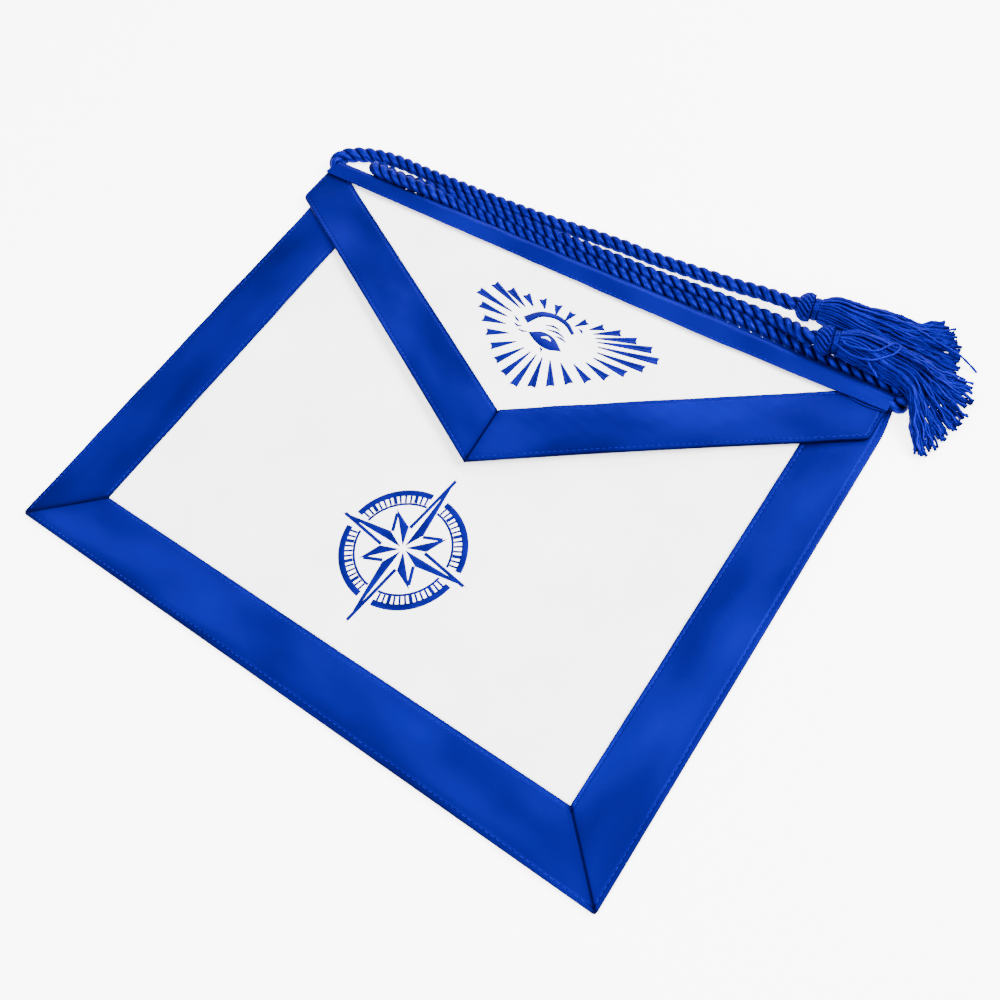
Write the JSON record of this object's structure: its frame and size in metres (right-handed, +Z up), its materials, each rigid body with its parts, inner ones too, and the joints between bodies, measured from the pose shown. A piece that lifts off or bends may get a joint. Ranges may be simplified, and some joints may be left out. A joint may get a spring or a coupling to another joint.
{
  "type": "masonic apron",
  "caption": "Flat white cloth apron with a satin ribbon border, a pointed bordered flap, a waistband casing and a twisted cord that ends in tassels.",
  "frame": {"origin": "on the surface that the apron lies on, under the middle of the box of its cloth and waistband", "axes": "+X along the hem, to the right as the front is seen with the waist at the top; +Y from the hem to the waist; +Z up, out of the front face"},
  "size_m": [0.4512, 0.393, 0.0261],
  "materials": {
    "white_cloth": "matt white cloth, smooth close weave",
    "satin_ribbon": "royal blue satin ribbon, soft sheen",
    "cord_satin": "royal blue twisted rayon cord",
    "tassel_yarn": "royal blue twisted yarn",
    "embroidery_thread": "royal blue machine satin stitch"
  },
  "bodies": {
    "root": {"apron_panel": "white_cloth", "hem_band": "satin_ribbon", "side_band_left": "satin_ribbon", "side_band_right": "satin_ribbon", "flap_panel": "white_cloth", "flap_band_left": "satin_ribbon", "flap_band_right": "satin_ribbon", "waistband": "satin_ribbon", "cord_inside": "cord_satin", "cord_left_turn": "cord_satin", "cord_left_run": "cord_satin", "cord_right_turn": "cord_satin", "cord_right_back": "cord_satin", "cord_right_fold": "cord_satin", "cord_right_run": "cord_satin", "tassel_left_head": "cord_satin", "tassel_left_neck": "cord_satin", "tassel_left_skirt": "tassel_yarn", "tassel_right_head": "cord_satin", "tassel_right_neck": "cord_satin", "tassel_right_skirt": "tassel_yarn"}
  },
  "joints": []
}
